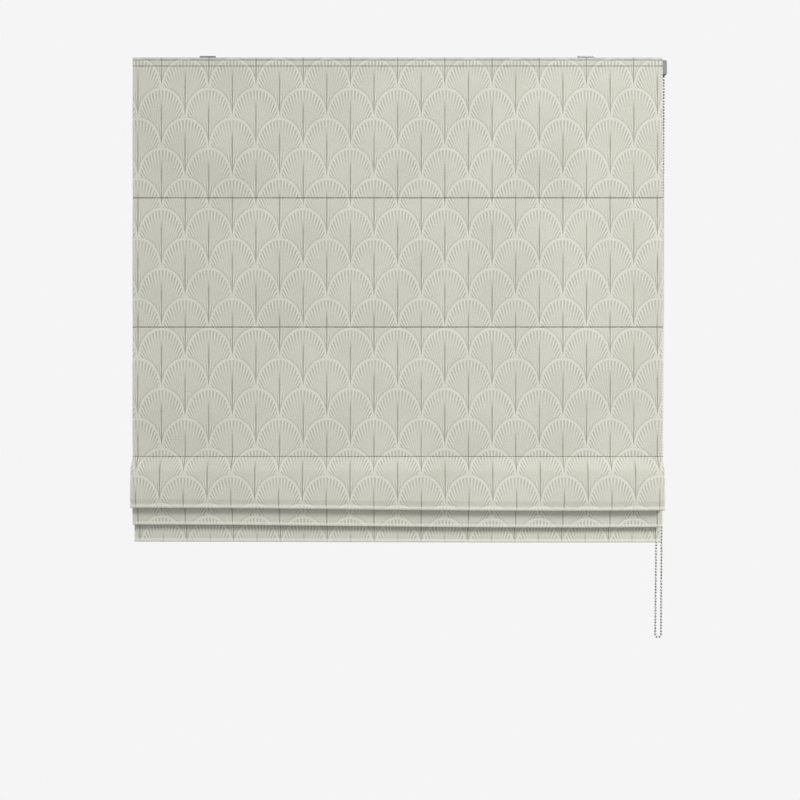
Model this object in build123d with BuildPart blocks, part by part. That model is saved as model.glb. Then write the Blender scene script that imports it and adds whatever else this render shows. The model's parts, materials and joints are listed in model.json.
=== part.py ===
from build123d import *
import math
import os

os.makedirs("parts", exist_ok=True)

# A cord-operated roman blind, partly raised, in millimetres.
# The blind faces -Y and hangs below z = 0, the surface that its two brackets are screwed to.

# Cloth widths and the levels of its seams, below the mounting surface
fabric_width = 1060.0
fabric_top = -6.0
first_panel = 281.0
panel = 258.5
seam_count = 3
side_inset = 3.0
top_inset = 4.0

# Thickness of each layer at the headrail, from the rail forward
tape_thickness = 1.2
lining_thickness = 0.6
face_thickness = 1.0
layer_gap = 0.3
panel_billow = 2.5
header_height = 30.0

# Headrail extrusion
rail_depth = 40.0
rail_height = 28.0
rail_wall = 1.5
rail_top = -8.0
rail_inset = 2.0
rail_slot = 26.0
slot_rib = 2.0
hook_wall = 1.2
hook_lip = 3.5
hook_height = 3.6
hook_span = 30.0
tape_height = 20.0

# End cap
cap_thickness = 2.0
cap_corner = 1.5
plug_length = 9.0
plug_wall = 3.0
plug_corner = 1.0

# Brackets and their cams
bracket_inset = 150.0
bracket_length = 36.0
bracket_plate = 2.0
bracket_corner = 3.0
bracket_hole = 4.5
tongue_length = 24.0
tongue_gap = 0.6
cam_pivot_y = 8.5
cam_hub_radius = 5.0
cam_plate = 1.8
cam_grip = 21.0
cam_width = 6.0
cam_arm_width = 4.6
rivet_radius = 2.0
running_gap = 0.3
fine_gap = 0.1

# Drive end
bead_pitch = 6.0
bead_radius = 2.25
link_radius = 0.75
link_groove = 1.4
wheel_pockets = 12
wheel_width = 6.0
wheel_gap = 2.9
rim_height = 0.6
pocket_gap = 0.2
chain_clearance = 0.8
axis_drop = 15.4
housing_wall = 1.5
housing_skirt = 1.0
housing_corner = 11.0
cover_edge = 0.7
core_radius = 6.0
spring_turns = 6
spring_wire = 1.35
spring_groove = 0.7
spring_margin = 1.0
land_share = 0.8
groove_share = 0.9
sleeve_wall = 1.7
clutch_length = 18.0
hub_length = 12.0
shaft_side = 6.0
shaft_edge = 0.5
shaft_clearance = 0.15
shaft_inset = 13.0

# Cord spools
spool_inset = 120.0
spool_length = 40.0
drum_radius = 10.0
flange_rim = 0.5
flange_thickness = 1.5
journal_wall = 1.0
journal_length = 4.0
cord_radius = 0.75
cord_fit = 0.15
drum_fit = 0.05
wound_turns = 7
cradle_wall = 2.0
cradle_head = 11.0
cradle_side_gap = 2.0

# Rods, their tapes and the cord rings
rod_radius = 2.0
rod_inset = 5.0
rod_tape_height = 10.0
rod_tape_web = 0.6
rod_tape_tube = 2.9
rod_clearance = 0.15
ring_outer = 4.9
ring_inner = 3.3
ring_height = 1.8
saddle_width = 7.0
saddle_height = 5.6
saddle_plate = 0.9
saddle_stem = 3.5
saddle_neck = 0.6
saddle_corner = 1.0
lock_radius = 2.8
lock_height = 7.0

# The stacked folds, measured down from the last flat seam and back from the cloth's front
fold_shoulder = -20.0
shoulder_drop = 22.0
shoulder_radius = 26.0
fold_front = -23.0
fold_a_inner = -2.6
fold_a_drop = 107.0
fold_a_radii = [9.8, 9.5]
knee = 6.6
knee_fall = 1.0
knee_lift = 0.4
knee_radius = 7.0
pinch_length = 10.0
pinch_ease = 0.7
pinch_radius = 6.0
hairpin_width = 1.8
hairpin_radius = 0.85
hairpin_4 = 9.0
hairpin_5 = 28.0
fold_b_front = 0.5
fold_b_inner = 9.5
fold_b_drop = 141.0
fold_b_radius = 4.3
drape_length = 10.5
drape_radius = 20.0
hem_drop = 174.0
hem_set_back = 17.5
hem_depth = 7.0
hem_height = 36.0
hem_shoulder = 28.0
hem_lap = 2.9
hem_bend = 30.0
hem_corner = 3.4
lap_radius = 6.0
rod_4_drop = 14.0
rod_5_drop = 33.0

# Bottom bar
bar_height = 26.0
bar_wall = 1.0
bar_inset = 4.0
bar_cap = 3.0

# Bead chain loop
loop_bottom = -1174.0
loop_lean = 7.3
loop_y = 8.0
loop_radius = 5.9
turn_beads = 3

# Levels and planes that follow from the sizes above
half_width = fabric_width / 2
rail_half = half_width - rail_inset
rail_bottom = rail_top - rail_height
rail_front = -rail_depth / 2
shell_half = rail_depth / 2
axis_z = rail_top - axis_drop
chain_x = rail_half + housing_wall + wheel_gap + wheel_width / 2
loop_x = chain_x - loop_lean
shaft_end = -rail_half + shaft_inset
spool_places = (-half_width + spool_inset, 0, half_width - spool_inset)
bracket_places = (-half_width + bracket_inset, half_width - bracket_inset)
lining_back = rail_front - 2 * tape_thickness - layer_gap
lining_front = lining_back - lining_thickness
face_back = lining_front - layer_gap
face_front = face_back - face_thickness
seam_levels = [fabric_top - first_panel - panel * i for i in range(seam_count)]
fold_top = seam_levels[-1]
lining_offset = face_thickness + layer_gap
tape_front = lining_back + layer_gap
rod_y = tape_front + rod_tape_tube
tape_back = rod_y + rod_tape_tube
rod_levels = seam_levels + [fold_top - rod_4_drop, fold_top - rod_5_drop]
cord_y = -(drum_radius + cord_radius)
wheel_pitch_radius = bead_pitch / (2 * math.sin(math.pi / wheel_pockets))
wheel_radius = wheel_pitch_radius + rim_height
cavity_radius = wheel_pitch_radius + bead_radius + chain_clearance
spring_radius = core_radius + cord_fit + spring_wire
sleeve_inner = spring_radius + running_gap
sleeve_outer = sleeve_inner + sleeve_wall
socket_side = shaft_side + 2 * shaft_clearance
journal_radius = socket_side / math.sqrt(2) + journal_wall
flange_radius = drum_radius + 2 * cord_radius + flange_rim
hook_top = rail_top + hook_height


def save(piece, name):
    """Label a finished piece and write its file."""
    piece.label = name
    export_step(piece, f"parts/{name}.step")


def folded_path(points, radii):
    """The front surface of a folded cloth, seen from the side, as a rounded line."""
    return FilletPolyline(*points, radius=radii, mode=Mode.PRIVATE)


def cloth_layer(path, start, thickness):
    """One layer of cloth of the given thickness, lying at a depth behind the front surface."""
    near = path
    if start > 0:
        near = path.offset_2d(start, side=Side.RIGHT, closed=False)
    outline = near.offset_2d(thickness, side=Side.RIGHT, closed=True)
    with BuildPart() as layer:
        with BuildSketch(Plane.YZ.offset(-half_width)):
            make_face(outline.edges())
        extrude(amount=fabric_width)
    return layer.part


# Headrail: a box section open below, with a hooked channel on top for the brackets
with BuildPart() as headrail:
    with BuildSketch(Plane.YZ.offset(-rail_half)):
        with Locations((0, rail_top - rail_height / 2)):
            Rectangle(rail_depth, rail_height)
            Rectangle(rail_depth - 2 * rail_wall, rail_height - 2 * rail_wall, mode=Mode.SUBTRACT)
        with Locations((0, rail_bottom + rail_wall / 2)):
            Rectangle(rail_slot, rail_wall, mode=Mode.SUBTRACT)
        for side in (-1, 1):
            with Locations((side * (rail_slot / 2 + rail_wall / 2), rail_bottom + slot_rib / 2)):
                Rectangle(rail_wall, slot_rib)
            with Locations((side * (hook_span / 2 + hook_wall / 2), rail_top + hook_height / 2)):
                Rectangle(hook_wall, hook_height)
            with Locations((side * (hook_span / 2 - hook_lip / 2), hook_top - hook_wall / 2)):
                Rectangle(hook_lip, hook_wall)
    extrude(amount=2 * rail_half)
save(headrail.part, "headrail")

# End cap on the left end, a plate with a hollow plug that fits in the rail
plug_depth = rail_depth - 2 * rail_wall - 2 * running_gap
plug_height = rail_height - 2 * rail_wall - 2 * running_gap
with BuildPart() as end_cap:
    with BuildSketch(Plane.YZ.offset(-rail_half)):
        with Locations((0, rail_top - rail_height / 2)):
            RectangleRounded(rail_depth, rail_height, cap_corner)
    extrude(amount=-cap_thickness)
    with BuildSketch(Plane.YZ.offset(-rail_half)):
        with Locations((0, rail_top - rail_height / 2)):
            RectangleRounded(plug_depth, plug_height, plug_corner)
            RectangleRounded(
                plug_depth - 2 * plug_wall, plug_height - 2 * plug_wall, plug_corner, mode=Mode.SUBTRACT
            )
        with Locations((0, rail_bottom + slot_rib)):
            Rectangle(rail_slot + 2 * rail_wall + 2 * running_gap, 2 * slot_rib, mode=Mode.SUBTRACT)
    extrude(amount=plug_length)
save(end_cap.part, "end_cap")

# The two halves of the touch fastener: hook tape glued to the rail, loop tape sewn to the cloth
tape_z = fabric_top - top_inset - tape_height / 2
with BuildPart() as hook_tape:
    with BuildSketch(Plane.XZ.offset(-rail_front)):
        with Locations((0, tape_z)):
            Rectangle(2 * (rail_half - rail_inset), tape_height)
    extrude(amount=tape_thickness)
save(hook_tape.part, "hook_tape")
with BuildPart() as loop_tape:
    with BuildSketch(Plane.XZ.offset(-rail_front + tape_thickness)):
        with Locations((0, tape_z)):
            Rectangle(fabric_width - 2 * side_inset, tape_height)
    extrude(amount=tape_thickness)
save(loop_tape.part, "loop_tape")

# Brackets: a screwed plate with a tongue that catches the rail's front hook
lip_inner = hook_span / 2 - hook_lip
lip_under = hook_top - hook_wall
tongue_top = lip_under - running_gap
tongue_reach = hook_span / 2 - running_gap
tongue_front = -lip_inner + tongue_gap
for place, name in zip(bracket_places, ("bracket_left", "bracket_right")):
    with BuildPart() as bracket:
        with BuildSketch(Plane.XY):
            with Locations((place, 0)):
                RectangleRounded(bracket_length, hook_span, bracket_corner)
                Circle(bracket_hole / 2, mode=Mode.SUBTRACT)
            with Locations((place, cam_pivot_y)):
                Circle(rivet_radius, mode=Mode.SUBTRACT)
        extrude(amount=-bracket_plate)
        with BuildSketch(Plane.YZ.offset(place - tongue_length / 2)):
            with BuildLine():
                Polyline(
                    (tongue_front + bracket_plate, -bracket_plate),
                    (tongue_front, -bracket_plate),
                    (tongue_front, tongue_top),
                    (-tongue_reach, tongue_top),
                    (-tongue_reach, tongue_top - cam_plate),
                    (tongue_front + bracket_plate, tongue_top - cam_plate),
                    close=True,
                )
            make_face()
        extrude(amount=tongue_length)
    save(bracket.part, name)

# Swivel cams under the brackets: a grip above the rail's rear hook and an arm below it
grip_top = -bracket_plate - fine_gap
grip_bottom = hook_top + running_gap
cam_core_radius = lip_inner - cam_pivot_y - running_gap
arm_reach = tongue_reach - cam_pivot_y
for place, name in zip(bracket_places, ("cam_left", "cam_right")):
    with BuildPart() as cam:
        with BuildSketch(Plane.XY.offset(grip_top)):
            with Locations((place, cam_pivot_y)):
                Circle(cam_hub_radius)
            with Locations((place, cam_pivot_y + cam_grip / 2)):
                SlotOverall(cam_grip + cam_width, cam_width, rotation=90)
            with Locations((place, cam_pivot_y)):
                Circle(rivet_radius + fine_gap, mode=Mode.SUBTRACT)
        extrude(amount=grip_bottom - grip_top)
        with BuildSketch(Plane.XY.offset(grip_bottom)):
            with Locations((place, cam_pivot_y)):
                Circle(cam_core_radius)
                Circle(rivet_radius + fine_gap, mode=Mode.SUBTRACT)
        extrude(amount=tongue_top - grip_bottom)
        with BuildSketch(Plane.XY.offset(tongue_top)):
            with Locations((place, cam_pivot_y + arm_reach / 2)):
                Rectangle(cam_arm_width, arm_reach)
            with Locations((place, cam_pivot_y)):
                Circle(arm_reach, mode=Mode.INTERSECT)
                Circle(cam_core_radius)
                Circle(rivet_radius + fine_gap, mode=Mode.SUBTRACT)
        extrude(amount=-cam_plate)
    save(cam.part, name)

# Rivets that the cams turn on
with BuildPart() as cam_rivets:
    with BuildSketch(Plane.XY):
        with Locations((bracket_places[0], cam_pivot_y), (bracket_places[1], cam_pivot_y)):
            Circle(rivet_radius)
    extrude(amount=tongue_top - cam_plate)
save(cam_rivets.part, "cam_rivets")

# Chain housing at the right end: a shell round the wheel, open below, with a collar in the rail
housing_in = chain_x + wheel_width / 2 + running_gap
housing_top = axis_z + cavity_radius + housing_wall
housing_bottom = rail_bottom - housing_skirt
with BuildPart() as chain_housing:
    with BuildSketch(Plane.YZ.offset(rail_half)):
        with BuildLine():
            FilletPolyline(
                (-shell_half, housing_bottom),
                (-shell_half, housing_top),
                (shell_half, housing_top),
                (shell_half, housing_bottom),
                radius=(housing_corner, housing_corner),
            )
            Line((shell_half, housing_bottom), (-shell_half, housing_bottom))
        make_face()
    extrude(amount=housing_in - rail_half)
    with BuildSketch(Plane.YZ.offset(rail_half + housing_wall)):
        with Locations((0, axis_z)):
            Circle(cavity_radius)
        with Locations((0, (axis_z + housing_bottom) / 2)):
            Rectangle(2 * cavity_radius, axis_z - housing_bottom)
    extrude(amount=housing_in - rail_half, mode=Mode.SUBTRACT)
    with BuildSketch(Plane.YZ.offset(rail_half)):
        with Locations((0, rail_top - rail_height / 2)):
            RectangleRounded(plug_depth, plug_height, plug_corner)
        with Locations((0, rail_bottom + slot_rib)):
            Rectangle(rail_slot + 2 * rail_wall + 2 * running_gap, 2 * slot_rib, mode=Mode.SUBTRACT)
    extrude(amount=-plug_length)
    with BuildSketch(Plane.YZ.offset(rail_half + housing_wall)):
        with Locations((0, axis_z)):
            Circle(sleeve_outer + running_gap)
    extrude(amount=-housing_wall - plug_length, mode=Mode.SUBTRACT)
save(chain_housing.part, "chain_housing")

# Housing cover, a plate on the open side of the shell
with BuildPart() as housing_cover:
    with BuildSketch(Plane.YZ.offset(housing_in)):
        with BuildLine():
            FilletPolyline(
                (-shell_half, housing_bottom),
                (-shell_half, housing_top),
                (shell_half, housing_top),
                (shell_half, housing_bottom),
                radius=(housing_corner, housing_corner),
            )
            Line((shell_half, housing_bottom), (-shell_half, housing_bottom))
        make_face()
    extrude(amount=housing_wall)
    fillet(housing_cover.faces().sort_by(Axis.X)[-1].edges(), cover_edge)
save(housing_cover.part, "housing_cover")

# Clutch core: the fixed post that the chain wheel turns on
wheel_in = chain_x - wheel_width / 2
clutch_end = wheel_in - clutch_length
with BuildPart() as clutch_core:
    with BuildSketch(Plane.YZ.offset(housing_in)):
        with Locations((0, axis_z)):
            Circle(core_radius)
    extrude(amount=clutch_end + running_gap - housing_in)
save(clutch_core.part, "clutch_core")

# Wrap spring that grips the core until the chain is pulled
with BuildPart() as clutch_spring:
    with BuildSketch(Plane.XY.offset(axis_z)):
        spring_start = clutch_end + spring_margin
        spring_step = (wheel_in - spring_margin - spring_start) / spring_turns
        with BuildLine():
            spring_points = [(spring_start, core_radius + cord_fit)]
            for turn in range(spring_turns):
                land_end = spring_start + (turn + land_share) * spring_step
                groove = spring_start + (turn + groove_share) * spring_step
                spring_points.append((spring_start + turn * spring_step, spring_radius))
                spring_points.append((land_end, spring_radius))
                spring_points.append((groove, spring_radius - spring_groove))
            spring_points.append((groove, core_radius + cord_fit))
            Polyline(*spring_points, close=True)
        make_face()
    revolve(axis=Axis((0, 0, axis_z), (1, 0, 0)))
save(clutch_spring.part, "clutch_spring")

# Chain wheel: a pocketed rim with a sleeve that reaches over the spring to the drive hub
with BuildPart() as chain_wheel:
    with BuildSketch(Plane.YZ.offset(wheel_in)):
        with Locations((0, axis_z)):
            Circle(wheel_radius)
            Circle(core_radius + pocket_gap, mode=Mode.SUBTRACT)
    extrude(amount=wheel_width)
    with BuildSketch(Plane.YZ.offset(clutch_end)):
        with Locations((0, axis_z)):
            Circle(sleeve_outer)
            Circle(sleeve_inner, mode=Mode.SUBTRACT)
    extrude(amount=clutch_length)
    with Locations(Location(Plane.YZ.offset(chain_x))):
        with Locations((0, axis_z)):
            with PolarLocations(wheel_pitch_radius, wheel_pockets):
                Sphere(bead_radius + pocket_gap, rotation=(25, 35, 0), mode=Mode.SUBTRACT)
    with BuildSketch(Plane.YZ.offset(chain_x)):
        with Locations((0, axis_z)):
            Circle(wheel_radius + rim_height)
            Circle(wheel_pitch_radius - link_groove, mode=Mode.SUBTRACT)
    extrude(amount=link_groove, both=True, mode=Mode.SUBTRACT)
save(chain_wheel.part, "chain_wheel")

# Drive hub between the wheel's sleeve and the square shaft
with BuildPart() as drive_hub:
    with BuildSketch(Plane.YZ.offset(clutch_end)):
        with Locations((0, axis_z)):
            Circle(sleeve_outer)
            Rectangle(socket_side, socket_side, mode=Mode.SUBTRACT)
    extrude(amount=-hub_length)
save(drive_hub.part, "drive_hub")

# Square drive shaft along the rail
with BuildPart() as drive_shaft:
    with BuildSketch(Plane.YZ.offset(shaft_end)):
        with Locations((0, axis_z)):
            Rectangle(shaft_side, shaft_side)
    extrude(amount=clutch_end - spring_margin - shaft_end)
    chamfer(drive_shaft.edges().filter_by(Axis.X), shaft_edge)
save(drive_shaft.part, "drive_shaft")

# Cord spools on the shaft, their wound cord, and the cradles that carry them
for place, side in zip(spool_places, ("left", "middle", "right")):
    spool_start = place - spool_length / 2
    with BuildPart() as spool:
        with BuildSketch(Plane.YZ.offset(spool_start - journal_length)):
            with Locations((0, axis_z)):
                Circle(journal_radius)
        extrude(amount=spool_length + 2 * journal_length)
        with BuildSketch(Plane.YZ.offset(spool_start)):
            with Locations((0, axis_z)):
                Circle(drum_radius)
        extrude(amount=spool_length)
        for edge in (spool_start, place + spool_length / 2 - flange_thickness):
            with BuildSketch(Plane.YZ.offset(edge)):
                with Locations((0, axis_z)):
                    Circle(flange_radius)
            extrude(amount=flange_thickness)
        with BuildSketch(Plane.YZ.offset(spool_start - journal_length)):
            with Locations((0, axis_z)):
                Rectangle(socket_side, socket_side)
        extrude(amount=spool_length + 2 * journal_length, mode=Mode.SUBTRACT)
    save(spool.part, f"cord_spool_{side}")

    wound_start = place + cord_radius + cord_fit
    with BuildPart() as wound_cord:
        with BuildSketch(Plane.XY.offset(axis_z)):
            with BuildLine():
                wound_points = [(wound_start, drum_radius + drum_fit)]
                for turn in range(wound_turns):
                    turn_start = wound_start + turn * 2 * cord_radius
                    wound_points.append((turn_start, drum_radius + cord_radius))
                    wound_points.append((turn_start + cord_radius, drum_radius + 2 * cord_radius))
                wound_end = wound_start + wound_turns * 2 * cord_radius
                wound_points.append((wound_end, drum_radius + cord_radius))
                wound_points.append((wound_end, drum_radius + drum_fit))
                Polyline(*wound_points, close=True)
            make_face()
        revolve(axis=Axis((0, 0, axis_z), (1, 0, 0)))
    save(wound_cord.part, f"wound_cord_{side}")

    cradle_length = spool_length + 2 * journal_length
    cradle_half_depth = rail_depth / 2 - rail_wall - cradle_side_gap
    cradle_floor = rail_bottom + rail_wall + fine_gap
    cradle_deck = rail_bottom + slot_rib + running_gap
    with BuildPart() as cradle:
        with BuildSketch(Plane.XY.offset(cradle_floor)):
            with Locations((place, 0)):
                Rectangle(cradle_length, 2 * cradle_half_depth)
                Rectangle(spool_length + 2 * running_gap, rail_slot - cradle_wall, mode=Mode.SUBTRACT)
            for side_y in (-1, 1):
                with Locations((place, side_y * (rail_slot / 2 + rail_wall / 2))):
                    Rectangle(cradle_length, rail_wall + 2 * running_gap, mode=Mode.SUBTRACT)
        extrude(amount=cradle_deck - cradle_floor)
        with BuildSketch(Plane.XY.offset(cradle_deck)):
            with Locations((place, 0)):
                Rectangle(cradle_length, 2 * cradle_half_depth)
                Rectangle(spool_length + 2 * running_gap, rail_slot - cradle_wall, mode=Mode.SUBTRACT)
        extrude(amount=cradle_wall)
        for wall_start in (place - cradle_length / 2, place + cradle_length / 2 - cradle_wall):
            with BuildSketch(Plane.YZ.offset(wall_start)):
                with Locations((0, axis_z)):
                    Circle(cradle_head)
                with Locations((0, (axis_z + cradle_floor) / 2)):
                    Rectangle(2 * cradle_head, axis_z - cradle_floor)
                with Locations((0, axis_z)):
                    Circle(journal_radius + pocket_gap, mode=Mode.SUBTRACT)
            extrude(amount=cradle_wall)
    save(cradle.part, f"cradle_{side}")

    with BuildPart() as lift_cord:
        with BuildSketch(Plane.XY.offset(axis_z)):
            with Locations((place, cord_y)):
                Circle(cord_radius)
        extrude(amount=rod_levels[-1] - ring_height / 2 - running_gap - lock_height - axis_z)
    save(lift_cord.part, f"lift_cord_{side}")

# Face cloth and lining from the headrail to the last flat seam
with BuildPart() as face_upper:
    with BuildSketch(Plane.YZ.offset(-half_width)):
        with BuildLine():
            stops = [fabric_top - header_height] + seam_levels
            Line((face_front, fabric_top), (face_front, stops[0]))
            for upper, lower in zip(stops, stops[1:]):
                ThreePointArc(
                    (face_front, upper),
                    (face_front - panel_billow, (upper + lower) / 2),
                    (face_front, lower),
                )
            Line((face_front, fold_top), (face_back, fold_top))
            for upper, lower in zip(stops[-2::-1], stops[:0:-1]):
                ThreePointArc(
                    (face_back, lower),
                    (face_back - panel_billow, (upper + lower) / 2),
                    (face_back, upper),
                )
            Line((face_back, stops[0]), (face_back, fabric_top))
            Line((face_back, fabric_top), (face_front, fabric_top))
        make_face()
    extrude(amount=fabric_width)
save(face_upper.part, "face_cloth_upper")

with BuildPart() as lining_upper:
    lining_top = fabric_top - top_inset
    with BuildSketch(Plane.YZ.offset(-half_width + side_inset)):
        with Locations(((lining_front + lining_back) / 2, (lining_top + fold_top) / 2)):
            Rectangle(lining_thickness, lining_top - fold_top)
    extrude(amount=fabric_width - 2 * side_inset)
save(lining_upper.part, "lining_upper")

# The folds below it: fold A, fold B and the hem, as one line seen from the side
down = fold_top
back = face_front
folds_to_hem = [
    (back, down),
    (back + fold_shoulder, down - shoulder_drop),
    (back + fold_front, down - fold_a_drop),
    (back + fold_a_inner, down - fold_a_drop),
    (back - knee - hairpin_width, down - hairpin_5 - knee_fall),
    (back - hairpin_width, down - hairpin_4 - pinch_length - pinch_ease),
    (back - hairpin_width, down - hairpin_4),
    (back, down - hairpin_4),
    (back, down - hairpin_4 - pinch_length),
    (back - knee, down - hairpin_5 + knee_lift),
    (back + fold_b_front, down - fold_b_drop),
    (back + fold_b_inner, down - fold_b_drop),
    (back - hairpin_width, down - hairpin_5),
    (back, down - hairpin_5),
    (back, down - hairpin_5 - drape_length),
    (back + hem_set_back, down - hem_drop + hem_height),
]
fold_radii = [
    shoulder_radius,
    *fold_a_radii,
    knee_radius,
    pinch_radius,
    hairpin_radius,
    hairpin_radius,
    pinch_radius,
    knee_radius,
    fold_b_radius,
    fold_b_radius,
    hairpin_radius,
    hairpin_radius,
    drape_radius,
]
hem_points = [
    (back + hem_set_back, down - hem_drop),
    (back + hem_set_back + hem_depth, down - hem_drop),
    (back + hem_set_back + hem_depth, down - hem_drop + hem_shoulder),
    (back + hem_set_back + hem_lap, down - hem_drop + hem_height),
]
hem_radii = [hem_bend, hem_corner, hem_corner, lap_radius]
face_path = folded_path(folds_to_hem + hem_points, fold_radii + hem_radii)
lining_path = folded_path(folds_to_hem, fold_radii)
face_folds = cloth_layer(face_path, 0, face_thickness)
save(face_folds, "face_cloth_folds")
lining_folds = cloth_layer(lining_path, lining_offset, lining_thickness)
save(lining_folds, "lining_folds")

# Five rods, each in a tape sewn behind a seam, with a row of cord rings on the tape
for number, level in enumerate(rod_levels, 1):
    with BuildPart() as rod_tape:
        with BuildSketch(Plane.YZ.offset(-half_width + side_inset)):
            with Locations((rod_y, level)):
                Circle(rod_tape_tube)
            with Locations((tape_front + rod_tape_web / 2, level)):
                Rectangle(rod_tape_web, rod_tape_height)
            with Locations((rod_y, level)):
                Circle(rod_radius + rod_clearance, mode=Mode.SUBTRACT)
        extrude(amount=fabric_width - 2 * side_inset)
    save(rod_tape.part, f"rod_tape_{number}")

    with BuildPart() as rod:
        with BuildSketch(Plane.YZ.offset(-half_width + rod_inset)):
            with Locations((rod_y, level)):
                Circle(rod_radius)
        extrude(amount=fabric_width - 2 * rod_inset)
    save(rod.part, f"rod_{number}")

    with BuildPart() as cord_rings:
        with BuildSketch(Plane.XY.offset(level - ring_height / 2)):
            with Locations(*[(place, cord_y) for place in spool_places]):
                Circle(ring_outer)
            saddle_front = tape_back + running_gap
            saddle_back = cord_y - ring_inner - saddle_neck
            with Locations(*[(place, (saddle_front + saddle_back) / 2) for place in spool_places]):
                Rectangle(saddle_stem, saddle_back - saddle_front)
            with Locations(*[(place, cord_y) for place in spool_places]):
                Circle(ring_inner, mode=Mode.SUBTRACT)
        extrude(amount=ring_height)
        with BuildSketch(Plane.XZ.offset(-saddle_front - saddle_plate)):
            with Locations(*[(place, level) for place in spool_places]):
                RectangleRounded(saddle_width, saddle_height, saddle_corner)
        extrude(amount=saddle_plate)
    save(cord_rings.part, f"cord_rings_{number}")

# Cord locks under the lowest rings, where the lift cords end
lock_top = rod_levels[-1] - ring_height / 2 - running_gap
with BuildPart() as cord_locks:
    with BuildSketch(Plane.XY.offset(lock_top)):
        with Locations(*[(place, cord_y) for place in spool_places]):
            Circle(lock_radius)
            Circle(cord_radius + cord_fit, mode=Mode.SUBTRACT)
    extrude(amount=-lock_height)
save(cord_locks.part, "cord_locks")

# Bottom bar, a hollow flat section in the hem, with a cap in each end
bar_thickness = hem_depth - 2 * face_thickness - 2 * running_gap
bar_y = back + hem_set_back + hem_depth / 2
bar_z = down - hem_drop + face_thickness + running_gap + bar_height / 2
bar_length = fabric_width - 2 * bar_inset
with BuildPart() as bottom_bar:
    with BuildSketch(Plane.YZ.offset(-bar_length / 2)):
        with Locations((bar_y, bar_z)):
            SlotOverall(bar_height, bar_thickness, rotation=90)
            SlotOverall(
                bar_height - 2 * bar_wall, bar_thickness - 2 * bar_wall, rotation=90, mode=Mode.SUBTRACT
            )
    extrude(amount=bar_length)
save(bottom_bar.part, "bottom_bar")
with BuildPart() as bar_caps:
    for side in (-1, 1):
        with BuildSketch(Plane.YZ.offset(side * bar_length / 2)):
            with Locations((bar_y, bar_z)):
                SlotOverall(bar_height, bar_thickness, rotation=90)
        extrude(amount=side * bar_cap)
save(bar_caps.part, "bar_caps")

# Bead chain: one endless string of beads, hung over the wheel and turned once at the bottom
turn_z = loop_bottom + loop_radius + bead_radius
front_top = Vector(chain_x, -wheel_pitch_radius, axis_z)
back_top = Vector(chain_x, wheel_pitch_radius, axis_z)
front_low = Vector(loop_x + loop_radius, loop_y, turn_z)
back_low = Vector(loop_x - loop_radius, loop_y, turn_z)
strand_beads = round((front_top - front_low).length / bead_pitch)
wheel_beads = wheel_pockets // 2


def chain_places():
    """Centre, direction and side direction at each bead and each link along the loop."""
    side = Vector(1, 0, 0)
    for step in range(2 * strand_beads):
        share = step / (2 * strand_beads)
        yield front_top + (front_low - front_top) * share, front_low - front_top, side
    for step in range(2 * turn_beads):
        angle = math.pi * step / (2 * turn_beads)
        across = Vector(math.cos(angle), 0, -math.sin(angle))
        along = Vector(-math.sin(angle), 0, -math.cos(angle))
        yield Vector(loop_x, loop_y, turn_z) + across * loop_radius, along, across
    for step in range(2 * strand_beads):
        share = step / (2 * strand_beads)
        yield back_low + (back_top - back_low) * share, back_top - back_low, side * -1
    for step in range(2 * wheel_beads):
        angle = math.pi * step / (2 * wheel_beads)
        spoke = Vector(0, math.cos(angle), math.sin(angle))
        along = Vector(0, -math.sin(angle), math.cos(angle))
        yield Vector(chain_x, 0, axis_z) + spoke * wheel_pitch_radius, along, side * -1


with BuildPart() as bead_chain:
    for index, (centre, along, across) in enumerate(chain_places()):
        radius = bead_radius if index % 2 == 0 else link_radius
        with BuildSketch(Plane(origin=centre, x_dir=across, z_dir=along)):
            RegularPolygon(radius, 6)
    loft(ruled=True)
save(bead_chain.part, "bead_chain")
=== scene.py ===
import json
import math

import bpy
from mathutils import Matrix, Vector, noise


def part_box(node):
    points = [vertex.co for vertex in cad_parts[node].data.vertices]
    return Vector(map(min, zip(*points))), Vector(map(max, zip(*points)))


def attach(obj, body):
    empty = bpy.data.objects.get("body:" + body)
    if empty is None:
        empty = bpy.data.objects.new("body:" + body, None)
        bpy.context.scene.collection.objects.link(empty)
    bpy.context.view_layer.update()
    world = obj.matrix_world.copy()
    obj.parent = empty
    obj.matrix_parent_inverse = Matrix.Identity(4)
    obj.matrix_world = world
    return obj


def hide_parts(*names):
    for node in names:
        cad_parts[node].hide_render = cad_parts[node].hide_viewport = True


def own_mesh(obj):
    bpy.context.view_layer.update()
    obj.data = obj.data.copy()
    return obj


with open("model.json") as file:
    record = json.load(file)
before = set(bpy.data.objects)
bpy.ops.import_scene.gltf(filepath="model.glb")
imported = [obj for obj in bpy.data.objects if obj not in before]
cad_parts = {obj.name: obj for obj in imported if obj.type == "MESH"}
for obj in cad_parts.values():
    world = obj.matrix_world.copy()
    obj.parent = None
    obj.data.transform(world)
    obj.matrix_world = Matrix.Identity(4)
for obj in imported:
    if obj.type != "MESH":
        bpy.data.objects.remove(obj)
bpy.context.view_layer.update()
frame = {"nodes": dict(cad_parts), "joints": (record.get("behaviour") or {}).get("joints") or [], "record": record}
nodes = frame["nodes"]

# Everything is in metres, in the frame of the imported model
MM = 0.001

# Photograph: the picture's middle, its width at the cloth and how far off it was taken
CAMERA_X = 4.9 * MM
CAMERA_Z = -691.0 * MM
CAMERA_DISTANCE = 2.4
CAMERA_REACH = 50.0
FRAME_WIDTH = 1.6
SENSOR = 36.0

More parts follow.
